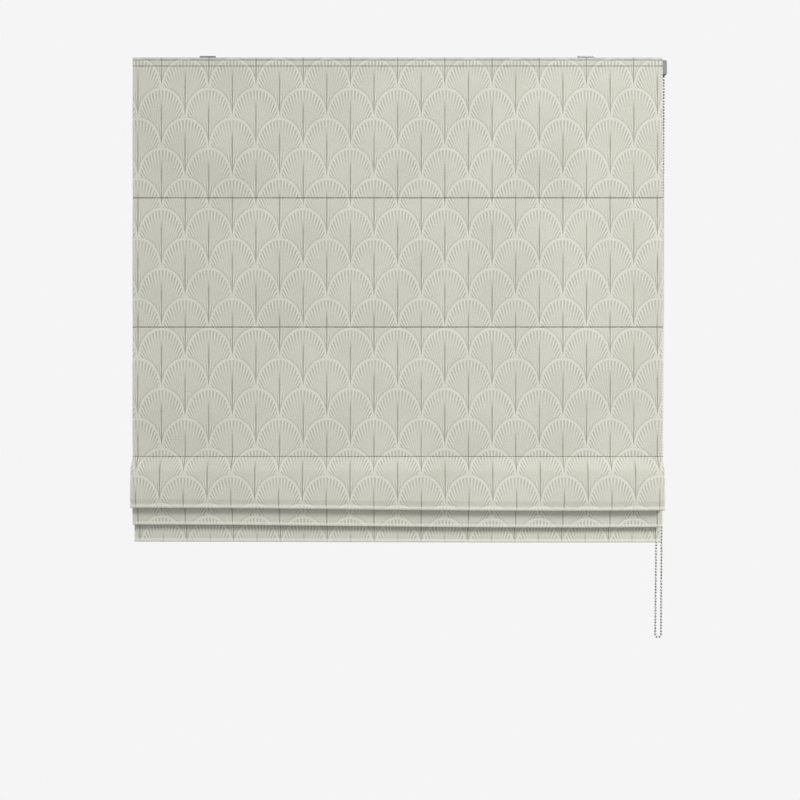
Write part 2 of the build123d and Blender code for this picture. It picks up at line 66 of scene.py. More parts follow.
# Cloth levels and layers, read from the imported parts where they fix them
upper_low, upper_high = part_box("face_cloth_upper")
lining_low, lining_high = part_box("lining_upper")
CLOTH_TOP = upper_high.z
FOLD_TOP = upper_low.z
HALF_WIDTH = upper_high.x
FACE_BACK = upper_high.y
FACE_THICK = 1.0 * MM
FACE_FRONT = FACE_BACK - FACE_THICK
LINING_GAP = lining_low.y - FACE_BACK
LINING_THICK = lining_high.y - lining_low.y
SIDE_TURN = 21.0 * MM

# The panel ends this far above the stack, so that the two stay apart when the blind is raised
SPLIT_GAP = 0.2 * MM

# The flat cloth: how far it stands forward between seams, how its stitched lines are pinched, and
# how closely its rows lie, which is finer beside each line
BILLOW = 2.5 * MM
HEADER = 30.0 * MM
HEADER_LINES = (5.0 * MM, 17.0 * MM)
HEADER_DIP = 0.35 * MM
HEADER_REACH = 1.1 * MM
SEAM_DIP = 1.8 * MM
SEAM_REACH = 1.18 * MM
ROW_STEP = 7.0 * MM
FINE_STEP = 0.75 * MM
FINE_ROWS = 8
STRAY = 0.7 * MM
STRAY_SPACING = 0.16
STRAY_SEED = 3.1

# The lift joint, and the level of the cloth's fixed end, above which the cloth stays as the blind is raised
lift = next(joint for joint in frame["joints"] if joint["name"] == "lift")
CLOTH_ANCHOR = next(
    row["fixed_end_z_m"] for row in lift["deforming_nodes"] if row["node"] == "face_cloth_upper"
)


def rod_level(number):
    """Height of a rod's middle."""
    low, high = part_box(f"rod_{number}")
    return (low.z + high.z) / 2


class Graph:
    """A material's node tree, with short ways to add nodes."""

    def __init__(self, name):
        self.material = bpy.data.materials.new(name)
        self.material.use_nodes = True
        self.tree = self.material.node_tree
        self.shader = self.tree.nodes["Principled BSDF"]

    def node(self, kind, **inputs):
        """A node whose inputs are given by name."""
        made = self.tree.nodes.new(kind)
        for key, value in inputs.items():
            self.put(made.inputs[key.replace("_", " ")], value)
        return made

    def put(self, socket, value):
        """Gives a socket a value, or a link to another node's socket."""
        if isinstance(value, bpy.types.NodeSocket):
            self.tree.links.new(value, socket)
        else:
            socket.default_value = value

    def math(self, operation, first, second=0.0, third=None):
        made = self.tree.nodes.new("ShaderNodeMath")
        made.operation = operation
        self.put(made.inputs[0], first)
        self.put(made.inputs[1], second)
        if third is not None:
            self.put(made.inputs[2], third)
        return made.outputs[0]

    def step(self, value, low, high):
        """A smooth rise from 0 at low to 1 at high."""
        made = self.tree.nodes.new("ShaderNodeMapRange")
        made.interpolation_type = "SMOOTHSTEP"
        self.put(made.inputs["Value"], value)
        made.inputs["From Min"].default_value = low
        made.inputs["From Max"].default_value = high
        return made.outputs["Result"]

    def mix(self, share, first, second):
        """The first colour, and the second by its share."""
        made = self.tree.nodes.new("ShaderNodeMix")
        made.data_type = "RGBA"
        self.put(made.inputs["Factor"], share)
        self.put(made.inputs[6], first)
        self.put(made.inputs[7], second)
        return made.outputs[2]

    def noise(self, scale, detail, vector):
        made = self.tree.nodes.new("ShaderNodeTexNoise")
        made.inputs["Scale"].default_value = scale
        made.inputs["Detail"].default_value = detail
        self.put(made.inputs["Vector"], vector)
        return made.outputs["Fac"]

    def object_space(self):
        return self.tree.nodes.new("ShaderNodeTexCoord").outputs["Object"]

    def bump(self, height, distance, strength, normal=None):
        made = self.tree.nodes.new("ShaderNodeBump")
        made.inputs["Distance"].default_value = distance
        made.inputs["Strength"].default_value = strength
        self.put(made.inputs["Height"], height)
        if normal is not None:
            self.put(made.inputs["Normal"], normal)
        return made.outputs["Normal"]


def colour(red, green, blue):
    return (red, green, blue, 1.0)


# The print's fans: half a fan's width, the pitch of their rows, and how many ribs fill a full turn
FAN_HALF_WIDTH = 47.2 * MM
FAN_PITCH = 60.0 * MM
FAN_RIBS = 40.0

# Rows of fans are counted upwards from this many rows below the top, which lies past the cloth's end
FAN_ROWS = 60

# Cloth tones
CLOTH_BASE = colour(0.565, 0.565, 0.495)
CLOTH_DARK = colour(0.215, 0.217, 0.165)
CLOTH_PALE = colour(0.800, 0.805, 0.735)
# A seam's tone is painted shade, for the shadow in the pinch of a stitched line
SEAM_SHADE_TONE = colour(0.120, 0.122, 0.092)

# Half widths of a seam's painted dark line (painted shade) and a roll's painted pale line (painted highlight), the
# painted highlight band at a side edge, and a thread's wave
SEAM_HALF = 1.3 * MM
CREASE_HALF = 5.0 * MM
EDGE_BAND = 1.8 * MM
WEAVE_PITCH = 1.3 * MM

# Where each mark of a fan rises and fades, in half widths of the fan: rise from, to, fall from, to
RIBS_AT_FOOT = (0.18, 0.30, 0.55, 0.95)
RIBS_AT_RIM = (0.48, 0.80, 0.89, 0.92)
RIBS_BETWEEN = (0.30, 0.60, 1.7, 2.0)
STEM_RUN = (0.04, 0.12, 1.20, 1.75)
RIM_WIDTH = (0.89, 0.93, 0.98, 1.0)
STEM_HALF = (0.016, 0.036)
INSIDE_RIM = (0.89, 0.92)
SHADE_OUTSIDE = (1.0, 1.10)
RIBS_DOUBLE = (0.80, 1.00)

# A rib's crest and the trough beside it, as parts of a wave, and how far the trough follows the crest
RIB_CREST = (0.30, 0.85)
RIB_TROUGH = (0.40, 0.90)
TROUGH_LAG = 2.3

# Uneven printing, and the uneven painted shade of the seams, as a factor of the noise and what is added to it
RIB_DRIFT = (0.9, 0.5)
STEM_DRIFT = (0.8, 0.5)
SEAM_SHADE_UNEVEN = (1.5, 0.05)

# How strongly each mark shows
BETWEEN_SHARE = 0.25
RIM_PALE = 0.30
RIB_PALE = 0.60
STEM_DARK = 0.74
RIB_DARK = 0.42
SHADE_DARK = 0.26
CLOUD_DARK = 0.16
SLUB_PALE = 0.16
# How strongly the painted highlight shows on the side edges and on each roll's front
TURNED_HIGHLIGHT = 0.55


def weave_height(graph, across, along, pitch):
    """Threads over and under each other, from the cloth's own coordinates."""
    turns = 2 * math.pi / pitch
    warp = graph.math("SINE", graph.math("MULTIPLY", across, turns))
    weft = graph.math("SINE", graph.math("MULTIPLY", along, turns))
    return graph.math("MULTIPLY", warp, weft)


def band(graph, value, rise_from, rise_to, fall_from, fall_to):
    """A value that is 1 between two edges and fades outside them."""
    return graph.math("MULTIPLY", graph.step(value, rise_from, rise_to),
                      graph.math("SUBTRACT", 1.0, graph.step(value, fall_from, fall_to)))


def hypotenuse(graph, x, y):
    squares = graph.math("ADD", graph.math("MULTIPLY", x, x), graph.math("MULTIPLY", y, y))
    return graph.math("SQRT", squares)


def fan_fields(graph, u, v):
    """Where a point of the cloth lies in its fan: x, y, distance from the middle, and whether in front."""
    across = graph.math("DIVIDE", u, FAN_HALF_WIDTH)
    up = graph.math("SUBTRACT", FAN_ROWS, graph.math("DIVIDE", v, FAN_PITCH))
    row = graph.math("FLOOR", up)
    rise = graph.math("SUBTRACT", up, row)
    shifted = graph.math("ADD", across, graph.math("MODULO", row, 2.0))
    x_front = graph.math("WRAP", shifted, 1.0, -1.0)
    x_behind = graph.math("WRAP", graph.math("ADD", shifted, 1.0), 1.0, -1.0)
    reach = hypotenuse(graph, x_front, rise)
    is_front = graph.math("LESS_THAN", reach, 1.0)

    def choose(front, behind):
        return graph.math("MULTIPLY_ADD", graph.math("SUBTRACT", front, behind), is_front, behind)

    x = choose(x_front, x_behind)
    y = choose(rise, graph.math("SUBTRACT", rise, 1.0))
    return x, y, hypotenuse(graph, x, y), reach, is_front


def rib_lines(graph, angle, phase):
    """Thin raised lines that spread from the fan's foot, and the shade beside each."""
    turn = graph.math("MULTIPLY_ADD", angle, FAN_RIBS, phase)
    crest = graph.step(graph.math("COSINE", turn), *RIB_CREST)
    trough = graph.step(graph.math("COSINE", graph.math("ADD", turn, TROUGH_LAG)), *RIB_TROUGH)
    return crest, trough


def lines_across(graph, v, places, half, softness):
    """1 on lines across the cloth at the given places along it, fading over the softness."""
    total = 0.0
    for place in places:
        off = graph.math("ABSOLUTE", graph.math("SUBTRACT", v, place))
        line = graph.math("SUBTRACT", 1.0, graph.step(off, half - softness, half))
        total = graph.math("MAXIMUM", line, total)
    return total


def face_material(seams, creases):
    """Woven cloth with rows of overlapping fans: fine embossed ribs, a dark stem and a pale rim."""
    graph = Graph("face_cloth")
    uv = graph.node("ShaderNodeUVMap")
    uv.uv_map = "cloth"
    place = uv.outputs["UV"]
    split = graph.node("ShaderNodeSeparateXYZ", Vector=place)
    u, v = split.outputs["X"], split.outputs["Y"]
    x, y, distance, reach, is_front = fan_fields(graph, u, v)
    from_foot = graph.math("ADD", y, 1.0)
    angle = graph.math("ARCTAN2", x, from_foot)
    length = hypotenuse(graph, x, from_foot)

    slub = graph.noise(scale=300.0, detail=4.0, vector=place)
    cloud = graph.noise(scale=7.0, detail=2.0, vector=place)
    drift = graph.noise(scale=26.0, detail=2.0, vector=place)

    # Ribs are strong at the foot and near the rim, and fade between them
    near_foot = band(graph, length, *RIBS_AT_FOOT)
    near_rim = band(graph, distance, *RIBS_AT_RIM)
    middle = band(graph, length, *RIBS_BETWEEN)
    strength = graph.math("MAXIMUM", near_foot, near_rim)
    strength = graph.math("MAXIMUM", strength, graph.math("MULTIPLY", middle, BETWEEN_SHARE))
    strength = graph.math("MULTIPLY", strength, graph.math("MULTIPLY_ADD", drift, *RIB_DRIFT))
    main_crest, main_trough = rib_lines(graph, angle, math.pi)
    fine_crest, fine_trough = rib_lines(graph, angle, 0.0)
    outer = graph.step(length, *RIBS_DOUBLE)
    crest = graph.math("MAXIMUM", main_crest, graph.math("MULTIPLY", fine_crest, outer))
    trough = graph.math("MAXIMUM", main_trough, graph.math("MULTIPLY", fine_trough, outer))
    inside = graph.math("SUBTRACT", 1.0, graph.step(distance, *INSIDE_RIM))
    crest = graph.math("MULTIPLY", graph.math("MULTIPLY", crest, strength), inside)
    trough = graph.math("MULTIPLY", graph.math("MULTIPLY", trough, strength), inside)

    stem = graph.math("SUBTRACT", 1.0, graph.step(graph.math("ABSOLUTE", x), *STEM_HALF))
    stem = graph.math("MULTIPLY", stem, band(graph, length, *STEM_RUN))
    stem = graph.math("MULTIPLY", stem, graph.math("MULTIPLY_ADD", drift, *STEM_DRIFT))
    rim = graph.math("MULTIPLY", band(graph, distance, *RIM_WIDTH), is_front)
    shade = graph.math("SUBTRACT", 1.0, graph.step(reach, *SHADE_OUTSIDE))
    shade = graph.math("MULTIPLY", shade, graph.math("SUBTRACT", 1.0, is_front))

    pale = graph.math("MULTIPLY", rim, RIM_PALE)
    pale = graph.math("MAXIMUM", pale, graph.math("MULTIPLY", crest, RIB_PALE))
    dark = graph.math("MULTIPLY", stem, STEM_DARK)
    dark = graph.math("MAXIMUM", dark, graph.math("MULTIPLY", trough, RIB_DARK))
    dark = graph.math("MAXIMUM", dark, graph.math("MULTIPLY", shade, SHADE_DARK))
    clouded = graph.math("MULTIPLY", graph.step(cloud, low=0.3, high=0.75), CLOUD_DARK)
    slubbed = graph.math("MULTIPLY", graph.step(slub, low=0.35, high=0.7), SLUB_PALE)
    tone = graph.mix(clouded, CLOTH_BASE, CLOTH_DARK)
    tone = graph.mix(slubbed, tone, CLOTH_PALE)
    tone = graph.mix(pale, tone, CLOTH_PALE)
    tone = graph.mix(dark, tone, CLOTH_DARK)

    # Painted highlight: the side edges and the front of each roll are painted paler. Painted shade: each stitched
    # line gets a dark line, broken up by noise
    edge = graph.step(graph.math("ABSOLUTE", u), HALF_WIDTH - EDGE_BAND, HALF_WIDTH - EDGE_BAND / 2)
    turned = graph.math("MAXIMUM", edge, lines_across(graph, v, creases, CREASE_HALF, CREASE_HALF / 2))
    tone = graph.mix(graph.math("MULTIPLY", turned, TURNED_HIGHLIGHT), tone, CLOTH_PALE)
    seam = lines_across(graph, v, seams, SEAM_HALF, SEAM_HALF / 2)
    seam_shade_noise = graph.noise(scale=130.0, detail=2.0, vector=place)
    seam = graph.math("MULTIPLY", seam, graph.math("MULTIPLY_ADD", seam_shade_noise, *SEAM_SHADE_UNEVEN))
    tone = graph.mix(seam, tone, SEAM_SHADE_TONE)
    graph.put(graph.shader.inputs["Base Color"], tone)

    weave = weave_height(graph, u, v, WEAVE_PITCH)
    relief = graph.math("SUBTRACT", pale, dark)
    coarse = graph.bump(relief, distance=0.5 * MM, strength=0.7)
    threads = graph.math("MULTIPLY_ADD", slub, 1.5, weave)
    fine = graph.bump(threads, distance=0.15 * MM, strength=0.6, normal=coarse)
    graph.put(graph.shader.inputs["Normal"], fine)
    graph.shader.inputs["Roughness"].default_value = 0.82
    graph.shader.inputs["Specular IOR Level"].default_value = 0.25
    graph.shader.inputs["Sheen Weight"].default_value = 0.25
    graph.shader.inputs["Sheen Roughness"].default_value = 0.4
    return graph.material


def woven_material(name, base, shade, pitch):
    """Plain woven cloth or tape, with no pattern."""
    graph = Graph(name)
    place = graph.object_space()
    split = graph.node("ShaderNodeSeparateXYZ", Vector=place)
    x, z = split.outputs["X"], split.outputs["Z"]
    slub = graph.noise(scale=320.0, detail=4.0, vector=place)
    cloud = graph.noise(scale=9.0, detail=2.0, vector=place)
    share = graph.math("ADD", graph.math("MULTIPLY", slub, 0.5), graph.math("MULTIPLY", cloud, 0.4))
    tone = graph.mix(graph.step(share, low=0.25, high=0.75), shade, base)
    graph.put(graph.shader.inputs["Base Color"], tone)
    height = graph.math("ADD", weave_height(graph, x, z, pitch), slub)
    graph.put(graph.shader.inputs["Normal"], graph.bump(height, distance=0.12 * MM, strength=0.6))
    graph.shader.inputs["Roughness"].default_value = 0.85
    graph.shader.inputs["Specular IOR Level"].default_value = 0.2
    graph.shader.inputs["Sheen Weight"].default_value = 0.15
    return graph.material


def uneven(graph, grain, middle, swing):
    """A roughness that swings about a middle value with the grain."""
    return graph.math("MULTIPLY_ADD", grain, swing, middle - swing / 2)


def painted_material(name, base, shade, roughness):
    """Powder-coated or moulded surface: an even colour with a fine orange-peel."""
    graph = Graph(name)
    place = graph.object_space()
    cloud = graph.noise(scale=14.0, detail=3.0, vector=place)
    peel = graph.noise(scale=1680.0, detail=2.0, vector=place)
    tone = graph.mix(graph.step(cloud, low=0.3, high=0.8), base, shade)
    graph.put(graph.shader.inputs["Base Color"], tone)
    graph.put(graph.shader.inputs["Roughness"], uneven(graph, peel, roughness, swing=0.14))
    graph.put(graph.shader.inputs["Normal"], graph.bump(peel, distance=0.03 * MM, strength=0.35))
    return graph.material


def metal_material(name, base, shade, roughness, stretch=(1.0, 1.0, 1.0)):
    """Bare or plated metal with a faint drawn grain."""
    graph = Graph(name)
    mapping = graph.node("ShaderNodeMapping", Vector=graph.object_space())
    mapping.inputs["Scale"].default_value = stretch
    grain = graph.noise(scale=900.0, detail=3.0, vector=mapping.outputs["Vector"])
    cloud = graph.noise(scale=40.0, detail=3.0, vector=graph.object_space())
    tone = graph.mix(graph.step(cloud, low=0.3, high=0.75), base, shade)
    graph.put(graph.shader.inputs["Base Color"], tone)
    graph.put(graph.shader.inputs["Roughness"], uneven(graph, grain, roughness, swing=0.2))
    graph.put(graph.shader.inputs["Normal"], graph.bump(grain, distance=0.02 * MM, strength=0.3))
    graph.shader.inputs["Metallic"].default_value = 1.0
    return graph.material


BEAD_NICKEL = colour(0.40, 0.40, 0.39)
BEAD_TARNISH = colour(0.29, 0.29, 0.28)
WIRE_NICKEL = colour(0.66, 0.66, 0.65)

# Where a bead's dull skin ends, from 0 round its middle to 1 at its poles
WIRE_START = (0.80, 0.98)


def chain_material():
    """Dull nickel beads, with brighter wires between them."""
    graph = Graph("chain_metal")
    uv = graph.node("ShaderNodeUVMap")
    uv.uv_map = "bead"
    along = graph.node("ShaderNodeSeparateXYZ", Vector=uv.outputs["UV"]).outputs["X"]
    wire = graph.step(along, *WIRE_START)
    tarnish = graph.noise(scale=700.0, detail=3.0, vector=graph.object_space())
    bead = graph.mix(graph.step(tarnish, low=0.35, high=0.8), BEAD_NICKEL, BEAD_TARNISH)
    graph.put(graph.shader.inputs["Base Color"], graph.mix(wire, bead, WIRE_NICKEL))
    graph.put(graph.shader.inputs["Roughness"], uneven(graph, tarnish, middle=0.22, swing=0.16))
    graph.shader.inputs["Metallic"].default_value = 1.0
    return graph.material


# Edges that bend more than this stay crisp
SHARP_ANGLE = math.radians(80)


def finish_piece(piece, slot, body):
    """Give a new piece its material, smooth shading and body."""
    piece.data.materials.clear()
    piece.data.materials.append(materials[slot])
    for face in piece.data.polygons:
        face.use_smooth = True
    piece.data.set_sharp_from_angle(angle=SHARP_ANGLE)
    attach(piece, body)
    return piece


def mesh_piece(name, points, faces, uvs=None, uv_name="cloth"):
    """A mesh object from points, faces and, where given, a surface coordinate for each point."""
    mesh = bpy.data.meshes.new(name)
    mesh.from_pydata(points, [], faces)
    if uvs is not None:
        layer = mesh.uv_layers.new(name=uv_name)
        for loop in mesh.loops:
            layer.data[loop.index].uv = uvs[loop.vertex_index]
    mesh.update()
    piece = bpy.data.objects.new(name, mesh)
    bpy.context.scene.collection.objects.link(piece)
    return piece


def spread(low, high, count):
    """Evenly spaced values from low to high, both included."""
    return [low + (high - low) * index / count for index in range(count + 1)]


def with_length(path, start):
    """Adds to each point of a side-view path its distance along the cloth."""
    rows = []
    length = start
    for index, point in enumerate(path):
        if index:
            before = path[index - 1]
            length += math.hypot(point[0] - before[0], point[1] - before[1])
        rows.append((point[0], point[1], length))
    return rows


def cloth_layer(name, rows, columns, depth, thick, wave):
    """A closed sheet that follows a side-view path, at a depth behind the cloth's front."""
    count = len(rows)
    normals = []
    for index in range(count):
        ahead = rows[min(index + 1, count - 1)]
        behind = rows[max(index - 1, 0)]
        run = Vector((ahead[0] - behind[0], ahead[1] - behind[1])).normalized()
        normals.append((-run.y, run.x))
    points, uvs = [], []
    for offset in (depth, depth + thick):
        for x in columns:
            for (y, z, length), (normal_y, normal_z) in zip(rows, normals):
                wave_y, wave_z = wave(x, z, length)
                points.append((x, y + normal_y * offset + wave_y, z + normal_z * offset + wave_z))
                uvs.append((x, length))
    faces = []
    back = len(columns) * count
    for column in range(len(columns) - 1):
        for row in range(count - 1):
            corner = column * count + row
            faces.append((corner, corner + 1, corner + count + 1, corner + count))
            faces.append((back + corner, back + corner + count, back + corner + count + 1, back + corner + 1))
        for row in (0, count - 1):
            corner = column * count + row
            rim = (corner, corner + count, back + corner + count, back + corner)
            faces.append(rim if row == 0 else rim[::-1])
    for column in (0, len(columns) - 1):
        for row in range(count - 1):
            corner = column * count + row
            rim = (corner, back + corner, back + corner + 1, corner + 1)
            faces.append(rim if column == 0 else rim[::-1])
    return mesh_piece(name, points, faces, uvs)


def ripple(x, length, seed, size):
    """A slow, even unevenness, from -1 to 1."""
    return noise.noise(Vector((x / size, length / size, seed)))


# Camera, at the photograph's place
camera = bpy.data.objects.new("camera", bpy.data.cameras.new("camera"))
bpy.context.scene.collection.objects.link(camera)
camera.location = (CAMERA_X, FACE_FRONT - CAMERA_DISTANCE, CAMERA_Z)
camera.rotation_euler = (math.pi / 2, 0, 0)
camera.data.sensor_width = SENSOR
camera.data.lens = SENSOR * CAMERA_DISTANCE / FRAME_WIDTH
camera.data.clip_end = CAMERA_REACH
bpy.context.scene.camera = camera

# Side views of the cloth's front surface
SEAMS = [rod_level(1), rod_level(2), FOLD_TOP]
STOPS = [CLOTH_TOP - HEADER] + SEAMS


def billow(z):
    """How far the cloth stands forward between two seams."""
    for upper, lower in zip(STOPS, STOPS[1:]):
        if lower <= z <= upper:
            share = (upper - z) / (upper - lower)
            return BILLOW * 4 * share * (1 - share)
    return 0.0


def dip(z):
    """The pinch of the cloth at its stitched lines."""
    depth = 0.0
    for seam in SEAMS[:2]:
        depth = max(depth, SEAM_DIP * math.exp(-((z - seam) / SEAM_REACH) ** 2))
    for line in HEADER_LINES:
        depth = max(depth, HEADER_DIP * math.exp(-((CLOTH_TOP - z - line) / HEADER_REACH) ** 2))
    return depth


def face_y(z):
    """Where the flat cloth's front lies at a height."""
    return FACE_FRONT - billow(z) + dip(z)


def flat_rows(high, low):
    """The flat cloth between two heights, with finer rows near each stitched line."""
    lines = [CLOTH_TOP - line for line in HEADER_LINES] + SEAMS
    heights = {round(z, 6) for z in spread(low, high, round((high - low) / ROW_STEP))}
    for line in lines:
        for step in range(-FINE_ROWS, FINE_ROWS + 1):
            z = round(line + step * FINE_STEP, 6)
            if low < z < high:
                heights.add(z)
    ordered = sorted(heights, reverse=True)
    return [(face_y(z), z, CLOTH_TOP - z) for z in ordered]


# The stacked folds in millimetres from the last flat seam, as in the solid: y, z and corner radius
FOLD_LINE = [
    (0.0, 0.0, 0.0),
    (-20.0, -22.0, 26.0),
    (-24.0, -88.0, 12.0),
    (-21.4, -98.0, 6.0),
    (-24.0, -107.0, 5.0),
    (-2.6, -107.0, 9.5),
    (-8.4, -29.0, 7.0),
    (-1.8, -19.7, 6.0),
    (-1.8, -9.0, 0.85),
    (0.0, -9.0, 0.85),
    (0.0, -19.0, 6.0),
    (-6.6, -27.6, 7.0),
    (0.5, -141.0, 4.3),
    (9.5, -141.0, 4.3),
    (-1.8, -28.0, 0.8),
    (0.0, -28.0, 0.85),
    (0.0, -38.5, 20.0),
    (17.5, -138.0, 30.0),
    (17.5, -174.0, 3.4),
    (24.5, -174.0, 3.4),
    (24.5, -146.0, 6.0),
    (20.4, -138.0, 0.0),
]

# The lining follows the same line, but ends inside the hem in place of the hem's own points
HEM_POINTS = 5
HEM_TOP = (17.3, -136.8, 0.0)

# Steps along the folds, in millimetres
STRAIGHT_STEP = 5.0
ARC_STEP = 1.0


def rounded_path(corners, straight_step, arc_step):
    """A line through corners, given as y, z and radius, with each corner rounded."""
    path = [Vector(corners[0][:2])]
    for before, corner, after in zip(corners, corners[1:], corners[2:]):
        point = Vector(corner[:2])
        to_before = (Vector(before[:2]) - point).normalized()
        to_after = (Vector(after[:2]) - point).normalized()
        half = math.acos(max(-1.0, min(1.0, to_before.dot(to_after)))) / 2
        tangent = corner[2] / math.tan(half)
        centre = point + (to_before + to_after).normalized() * (corner[2] / math.sin(half))
        start = point + to_before * tangent - centre
        turn = math.pi - 2 * half
        if to_before.x * to_after.y - to_before.y * to_after.x > 0:
            turn = -turn
        count = max(3, round(abs(turn) * corner[2] / arc_step))
        for step in range(count + 1):
            spun = Matrix.Rotation(turn * step / count, 2) @ start
            path.append(centre + spun)
    path.append(Vector(corners[-1][:2]))
    filled = [path[0]]
    for point in path[1:]:
        gap = (point - filled[-1]).length
        pieces = max(1, round(gap / straight_step))
        start = filled[-1]
        for step in range(1, pieces + 1):
            filled.append(start + (point - start) * step / pieces)
    return [(point.x * MM, point.y * MM) for point in filled]


def fold_rows(corners):
    """The stacked folds' side view, with the distance along the cloth from its top."""
    path = rounded_path(corners, STRAIGHT_STEP, ARC_STEP)
    return with_length([(FACE_FRONT + y, FOLD_TOP + z) for y, z in path], CLOTH_TOP - FOLD_TOP)


def flat_wave(x, z, length):
    """The flat cloth hangs almost true: it strays under a millimetre between its seams."""
    free = min(1.0, 4 * billow(z) / BILLOW)
    return STRAY * free * ripple(x, length, STRAY_SEED, STRAY_SPACING), 0.0


header_rows = flat_rows(CLOTH_TOP, CLOTH_ANCHOR)
panel_rows = flat_rows(CLOTH_ANCHOR, FOLD_TOP + SPLIT_GAP)
stack_rows = fold_rows(FOLD_LINE)
lining_stack_rows = fold_rows(FOLD_LINE[:-HEM_POINTS] + [HEM_TOP])
lining_header_rows = [row for row in header_rows if row[1] <= lining_high.z]


# A roll's painted highlight lies this far before its lowest point; only points below this drop are rolls
CREASE_LEAD = 5.5 * MM
ROLL_DROP = 90.0 * MM


def crease_places(rows):
    """How far along the cloth the front of each roll lies, just before it turns up again."""
    places = []
    for before, row, after in zip(rows, rows[1:], rows[2:]):
        if row[1] < before[1] and row[1] <= after[1] and row[1] < FOLD_TOP - ROLL_DROP:
            places.append(row[2] - CREASE_LEAD)
    return places


SEAM_LENGTHS = [*HEADER_LINES, *(CLOTH_TOP - seam for seam in SEAMS)]
CREASE_LENGTHS = crease_places(stack_rows)

materials = {
    "face_cloth": face_material(SEAM_LENGTHS, CREASE_LENGTHS),
    "lining_cloth": woven_material(
        "lining_cloth", colour(0.74, 0.72, 0.66), colour(0.66, 0.64, 0.58), pitch=0.8 * MM),
    "tape_cloth": woven_material(
        "tape_cloth", colour(0.78, 0.77, 0.73), colour(0.68, 0.67, 0.62), pitch=1.1 * MM),
    "cord_fibre": woven_material(
        "cord_fibre", colour(0.80, 0.80, 0.78), colour(0.66, 0.66, 0.64), pitch=0.7 * MM),
    "white_aluminium": painted_material(
        "white_aluminium", colour(0.76, 0.76, 0.75), colour(0.72, 0.72, 0.71), roughness=0.38),
    "white_plastic": painted_material(
        "white_plastic", colour(0.78, 0.78, 0.77), colour(0.74, 0.74, 0.73), roughness=0.45),
    # Grey plastic: the plastic's own grey, made darker as painted shade, so that the chain housing stands for the
    # shadow beside the rail's end
    "grey_plastic": painted_material(
        "grey_plastic", colour(0.22, 0.225, 0.23), colour(0.18, 0.185, 0.19), roughness=0.5),
    "clear_plastic": painted_material(
        "clear_plastic", colour(0.74, 0.75, 0.76), colour(0.68, 0.69, 0.70), roughness=0.25),
    "rod_fibre": painted_material(
        "rod_fibre", colour(0.76, 0.77, 0.72), colour(0.68, 0.69, 0.64), roughness=0.3),
    "plain_aluminium": metal_material(
        "plain_aluminium", colour(0.62, 0.62, 0.63), colour(0.54, 0.54, 0.55), roughness=0.35,
        stretch=(0.05, 1.0, 1.0)),
    "zinc_steel": metal_material(
        "zinc_steel", colour(0.58, 0.59, 0.61), colour(0.48, 0.49, 0.52), roughness=0.38),
    "chain_metal": chain_material(),
}


# The folds hang lowest right of the middle, as in the photograph, and only below a free drop. The
# front fold's cloth and the hem have their own share, by the distance along the cloth
FREE_FROM = 40.0 * MM
FREE_OVER = 60.0 * MM
SWELL = 1.2 * MM
SWELL_SPACING = 0.12
SWELL_SEED = 5.3
HEM_LENGTH = 0.50
HEM_SHARE = 0.30
SWAY = 3.0 * MM
SWAY_PERIOD = 1.72
SWAY_MEAN_FRONT = 0.9
SWAY_MEAN_BACK = 0.4
FRONT_FOLD_LENGTH = 0.22


def fold_wave(x, z, length):
    """The folds hang a little unevenly along their length; the seams stay straight."""
    along = length - (CLOTH_TOP - FOLD_TOP)
    drop = FOLD_TOP - z
    free = max(0.0, min(1.0, (drop - FREE_FROM) / FREE_OVER))
    mean = SWAY_MEAN_FRONT if along < FRONT_FOLD_LENGTH else SWAY_MEAN_BACK
    sway = mean + math.cos(2 * math.pi * (x + HALF_WIDTH) / SWAY_PERIOD)
    swell = ripple(x, length, SWELL_SEED, SWELL_SPACING)
    if along > HEM_LENGTH:
        free *= HEM_SHARE
    return SWELL * free * swell, SWAY * free * sway


# The cloth's layers: how wide and deep each lies, and in how many columns
LINING_HALF = HALF_WIDTH - SIDE_TURN
TURN_INSET = 0.4 * MM
TURN_DEPTH = FACE_THICK + 0.05 * MM
TURN_THICK = 0.7 * MM
FACE_COUNT = 106
LINING_COUNT = 60
TURN_COUNT = 4
FACE_COLUMNS = spread(-HALF_WIDTH, HALF_WIDTH, FACE_COUNT)
LINING_COLUMNS = spread(-LINING_HALF, LINING_HALF, LINING_COUNT)
LEFT_TURN = spread(-HALF_WIDTH + TURN_INSET, -LINING_HALF - TURN_INSET, TURN_COUNT)
RIGHT_TURN = spread(LINING_HALF + TURN_INSET, HALF_WIDTH - TURN_INSET, TURN_COUNT)
LINING_DEPTH = FACE_THICK + LINING_GAP
STACK_BODY = "stack"


def squash_cloth(piece):
    """Gives a piece its own copy of its mesh."""
    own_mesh(piece)


def make_cloth_part(tag, rows, lining_rows, wave, body, replaced=(), squashed=False):
    """One part of the blind's cloth: its face, the turned-in sides and the lining behind."""
    face = cloth_layer(f"face_cloth_{tag}", rows, FACE_COLUMNS, 0.0, FACE_THICK, wave)
    lining = cloth_layer(f"lining_{tag}", lining_rows, LINING_COLUMNS, LINING_DEPTH, LINING_THICK, wave)
    turned = []
    for side, columns in (("left", LEFT_TURN), ("right", RIGHT_TURN)):
        turned.append(cloth_layer(
            f"side_turn_{tag}_{side}", lining_rows, columns, TURN_DEPTH, TURN_THICK, wave))
    for piece, slot in ((face, "face_cloth"), (lining, "lining_cloth"),
                        (turned[0], "face_cloth"), (turned[1], "face_cloth")):
        finish_piece(piece, slot, body)
        if squashed:
            squash_cloth(piece)
    if replaced:
        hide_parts(replaced[0])
        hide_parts(replaced[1])


make_cloth_part("header", header_rows, lining_header_rows, flat_wave, "root")
make_cloth_part("panel", panel_rows, panel_rows, flat_wave, "root",
                replaced=("face_cloth_upper", "lining_upper"), squashed=True)
make_cloth_part("stack", stack_rows, lining_stack_rows, fold_wave, STACK_BODY,
                replaced=("face_cloth_folds", "lining_folds"))

